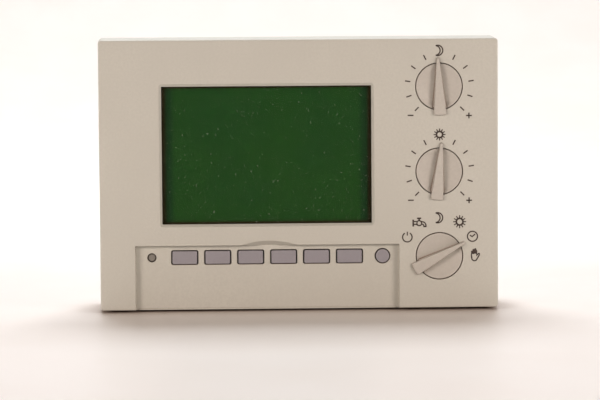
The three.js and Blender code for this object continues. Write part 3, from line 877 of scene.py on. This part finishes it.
def hand(name, x, z):
    """A raised hand: four filled fingers, an outlined palm and a thumb to the right."""
    fingers = [(-1.3, 0.2), *arc(-1.0, 1.15, 0.36, 180, 60, 6), *arc(-0.45, 1.75, 0.38, 170, 40, 6)]
    fingers += [*arc(0.2, 1.95, 0.42, 140, 0, 6), *arc(0.55, 1.3, 0.4, 60, -10, 6), (0.85, 0.45)]
    fingers += [(0.5, 0.25), (0.1, 0.45), (-0.4, 0.2), (-0.9, 0.3)]
    palm = [(-1.2, 0.3), (-1.15, -0.9), *arc(-0.1, -1.2, 0.98, 165, 320, 10), (1.2, -0.9), (1.75, 0.1)]
    thumb = [(1.75, 0.1), (1.62, 0.45), (1.25, 0.35), (0.75, -0.25), (0.8, 0.4)]
    ink(name, x, z, strokes=[(palm, LINE), (thumb, THIN_LINE)], fills=[fingers])


def scale_ticks():
    """Five ticks at each side of a knob, the same angle apart."""
    middle_radius, length, apart = 11.6, 1.95, 27
    reach = (middle_radius - length / 2, middle_radius + length / 2)
    ticks = []
    for i in range(5):
        for side in (-1, 1):
            a = math.radians(side * apart * (i + 1))
            ticks.append(([(r * math.sin(a), r * math.cos(a)) for r in reach], LINE))
    return ticks


def build_marks():
    """The marks on the face, each at its place from the knob that it belongs to."""
    ticks = scale_ticks()
    for name in ("night", "day"):
        x, z = knob_axis(name)
        ink(f"{name}_scale", x + 0.15 * MM, z + 0.1 * MM, strokes=ticks)
        minus = [([(-11.35, -10.4), (-9.25, -10.4)], LINE)]
        plus = [([(9.75, -10.6), (11.85, -10.6)], LINE), ([(10.8, -9.55), (10.8, -11.65)], LINE)]
        ink(f"{name}_minus", x, z, strokes=minus)
        ink(f"{name}_plus", x, z, strokes=plus)
    x, z = knob_axis("night")
    moon("night_moon", x, z + 12.95 * MM)
    x, z = knob_axis("day")
    sun("day_sun", x + 0.15 * MM, z + 13.3 * MM, size=1.03)
    x, z = knob_axis("mode")
    places = {power: (-11.65, 6.9), tap: (-7.25, 12.0), moon: (-0.2, 13.85), sun: (7.35, 12.35)}
    places |= {clock: (12.0, 7.0), hand: (12.8, 0.3)}
    for draw, (dx, dz) in places.items():
        draw(f"mode_{draw.__name__}", x + dx * MM, z + dz * MM)


# ---- Display, screws and the pieces that keep their CAD shape ------------------------------------


def build_display():
    """The green film on the front of the display cell."""
    low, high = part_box("lcd_glass")
    place = middle("lcd_glass")
    film, ease = 0.12 * MM, 0.05 * MM
    width = high.x - low.x - 0.4 * MM
    height = high.z - low.z - 2 * MM
    outline = rounded_rectangle(place.x, place.z, width, height, 0.3 * MM)
    profile = [(ease, low.y - film), (0, low.y - film / 2), (0, low.y)]
    sheet = solid("display_film", (outline, profile))
    smooth(sheet)
    piece(sheet, DISPLAY)


SCREW_HEAD = 1.6 * MM
THREAD_STEP = 0.35 * MM
SHORTEST_THREADED = 4 * MM


def screw_profile(radius, length, head):
    """A domed head, a shank of half its radius, and a thread on all but the shortest screws."""
    shank = radius * 0.5
    dome = 0.25 * head
    profile = [(0.45 * radius, 0), (0.15 * radius, dome * 0.4), (0, dome), (0, head)]
    profile.append((radius - shank, head))
    turns = int((length - head) / THREAD_STEP) if length > SHORTEST_THREADED else 0
    for i in range(turns):
        y = head + (length - head) * (i + 0.5) / turns
        profile.append((radius - shank * (0.86 if i % 2 else 1.0), y))
    profile.append((radius - shank * 0.8, length))
    return profile


def cross_head(name, node, axis):
    """A screw with a cross in its head, standing for a plain CAD one that points along an axis."""
    low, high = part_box(node)
    place = middle(node)
    length = high.z - low.z if axis == "Z" else high.y - low.y
    radius = (high.x - low.x) / 2
    head = min(SCREW_HEAD, 0.5 * length)
    screw = solid(name, (circle(0, 0, radius, 32), screw_profile(radius, length, head)))
    slot_width, slot_length = 0.22 * radius, 1.15 * radius
    for w, h in ((slot_length, slot_width), (slot_width, slot_length)):
        cross = rounded_rectangle(0, 0, w, h, 0.05 * MM, steps=2)
        combine(screw, solid("cross", (cross, straight(-MM, 0.55 * head))), "DIFFERENCE")
    poses = {
        "Z": ((place.x, place.y, low.z), Matrix.Rotation(math.pi / 2, 4, "X")),
        "Y": ((place.x, low.y, place.z), Matrix.Identity(4)),
        "-Y": ((place.x, high.y, place.z), Matrix.Rotation(math.pi, 4, "Z")),
    }
    start, turn = poses[axis]
    screw.data.transform(Matrix.Translation(start) @ turn)
    smooth(screw)
    piece(screw, STEEL, stands_for=[node])


def build_screws():
    cross_head("case_screw", "locking_screw", "Z")
    for i in range(1, 5):
        cross_head(f"terminal_clamp_{i}", f"terminal_screw_{i}", "Y")
        cross_head(f"board_fixing_{i}", f"board_screw_{i}", "-Y")


def ease_edges(node, width):
    """Rounds the edges of a CAD node by modifiers, once what lies in one plane is one face."""
    obj = nodes[node]
    planar = obj.modifiers.new("planar", "DECIMATE")
    planar.decimate_type = "DISSOLVE"
    planar.angle_limit = math.radians(0.5)
    bevel = obj.modifiers.new("eased_edges", "BEVEL")
    bevel.width = width
    bevel.segments = 2
    bevel.limit_method = "ANGLE"
    bevel.angle_limit = math.radians(40)
    obj.data.shade_smooth()
    weighted = obj.modifiers.new("flat_faces", "WEIGHTED_NORMAL")
    weighted.weight = FLAT_WEIGHT


def dress_cad_nodes():
    """The pieces that keep their CAD shape: (material, width of the eased edges in millimetres)."""
    finishes = {
        "rear_case": (CASE_PLASTIC, 0.3),
        "wall_plate": (PLATE_PLASTIC, 0.25),
        "display_window": (PANE, 0.1),
        "lcd_frame": (HOLDER_PLASTIC, 0.2),
        "lcd_glass": (DISPLAY, 0.1),
        "zebra_strip_top": (RUBBER, 0.1),
        "zebra_strip_bottom": (RUBBER, 0.1),
        "circuit_board": (BOARD, 0.1),
        "microcontroller": (CHIP_PLASTIC, 0.08),
        "crystal": (STEEL, 0.4),
        "relay": (RELAY_PLASTIC, 0.3),
        "capacitor": (CHIP_PLASTIC, 0.3),
        "backup_cell": (STEEL, 0.4),
        "temperature_sensor": (CHIP_PLASTIC, 0.05),
        "pin_header": (CHIP_PLASTIC, 0.08),
        "terminal_block": (TERMINAL_PLASTIC, 0.2),
        "night_potentiometer": (CHIP_PLASTIC, 0.3),
        "day_potentiometer": (CHIP_PLASTIC, 0.3),
        "mode_switch": (CHIP_PLASTIC, 0.3),
    }
    for name in KNOBS:
        finishes[f"{name}_shaft"] = (SHAFT_STEEL, 0.15)
    for i in range(1, 9):
        finishes[f"key_switch_{i}"] = (CHIP_PLASTIC, 0.12)
        finishes[f"key_plunger_{i}"] = (PLUNGER_PLASTIC, 0.12)
    for node, (material, width) in finishes.items():
        data = nodes[node].data
        data.materials.clear()
        data.materials.append(material)
        ease_edges(node, width * MM)


# ---- Floor, light and camera ---------------------------------------------------------------------


def build_floor():
    """A white sweep: the table runs back from under the camera and curves up behind."""
    near, fore, bend = -1.6, -0.5, 1.0
    radius, top, half = 0.5, 2.4, 2.5
    steps = 24
    turns = [math.pi / 2 * i / steps for i in range(steps + 1)]
    curve = [(bend + radius * math.sin(a), radius * (1 - math.cos(a))) for a in turns]
    run = [(near, 0), (fore, 0), *curve, (bend + radius, top)]
    bm = bmesh.new()
    rows = [[bm.verts.new((x, y, z + cad_box[0].z)) for y, z in run] for x in (-half, half)]
    for i in range(len(run) - 1):
        bm.faces.new((rows[0][i], rows[1][i], rows[1][i + 1], rows[0][i + 1]))
    floor = mesh_object("floor", bm)
    floor.data.shade_smooth()
    s = Shader("white_table")
    tone = s.mix(s.ramp(s.noise(60 * MM, detail=4), 0.3, 0.7), srgb(246, 240, 236), srgb(248, 243, 240))
    # Painted contact shadow: the table turns brown under and close around the case, driven by ambient
    # occlusion.
    under = s.ramp(s.crevice(20 * MM), 0.46, 0.92, 0.64, 0.0)
    tone = s.mix(under, tone, srgb(150, 122, 102))
    floor.data.materials.append(s.finish(tone, 0.4))


def area_light(name, place, aim, width, depth, power, colour=(1, 1, 1), spread=180):
    """A soft rectangular light that shines from place towards aim."""
    light = bpy.data.lights.new(name, "AREA")
    light.shape = "RECTANGLE"
    light.size = width
    light.size_y = depth
    light.energy = power
    light.color = colour
    light.spread = math.radians(spread)
    obj = bpy.data.objects.new(name, light)
    obj.location = place
    obj.rotation_mode = "QUATERNION"
    obj.rotation_quaternion = (Vector(aim) - Vector(place)).to_track_quat("-Z", "Y")
    obj.visible_camera = False
    bpy.context.scene.collection.objects.link(obj)


def build_light():
    """A light high behind, one on the backdrop, a pair at the sides and a warmer pair in front."""
    cool, creamy, warm, room = (0.97, 1, 1.02), (1, 0.95, 0.92), (1, 0.86, 0.77), (1, 0.84, 0.75)
    area_light("high_behind", (0, 0.55, 0.9), (0, -0.1, 0), 0.55, 0.55, 9.5, cool)
    area_light("backdrop_light", (0, 0.8, 1.5), (0, 1.5, 0.0), 2.4, 0.5, 10.0, spread=120)
    for side, end in ((-1, "left"), (1, "right")):
        front = (1.015 * side, -1.05, 0.34)
        beside = (1.1 * side, 0.1, 0.4)
        area_light(f"front_{end}", front, (0, 0, -0.3), 0.6, 0.35, 2.36, warm, spread=90)
        area_light(f"side_{end}", beside, (0, 0.1, 0.1), 0.8, 0.8, 1.4, creamy)
    world = bpy.data.worlds.new("studio")
    world.use_nodes = True
    background = world.node_tree.nodes["Background"]
    background.inputs["Color"].default_value = (*room, 1)
    background.inputs["Strength"].default_value = 0.12
    bpy.context.scene.world = world
    bpy.context.scene.view_settings.view_transform = "Standard"


def build_camera():
    """A long lens a little above and to the left, turned slightly about its own axis."""
    azimuth, elevation, roll = math.radians(-1.83), math.radians(4.05), math.radians(0.39)
    distance = 0.9392
    aim = Vector((0.26 * MM, FACE, -9.2 * MM))
    level = math.cos(elevation)
    back = Vector((math.sin(azimuth) * level, -math.cos(azimuth) * level, math.sin(elevation)))
    camera = bpy.data.cameras.new("camera")
    camera.lens = 156
    camera.sensor_width = 36
    camera.clip_start = 0.05
    obj = bpy.data.objects.new("camera", camera)
    obj.location = aim + back * distance
    obj.rotation_mode = "QUATERNION"
    turn = (-back).to_track_quat("-Z", "Y")
    obj.rotation_quaternion = turn @ Quaternion((0, 0, 1), -roll)
    bpy.context.scene.collection.objects.link(obj)
    bpy.context.scene.camera = obj


build_camera()
build_light()
build_floor()
build_front_cover()
build_knobs()
build_keys()
build_marks()
build_display()
build_screws()
dress_cad_nodes()

bpy.context.view_layer.update()
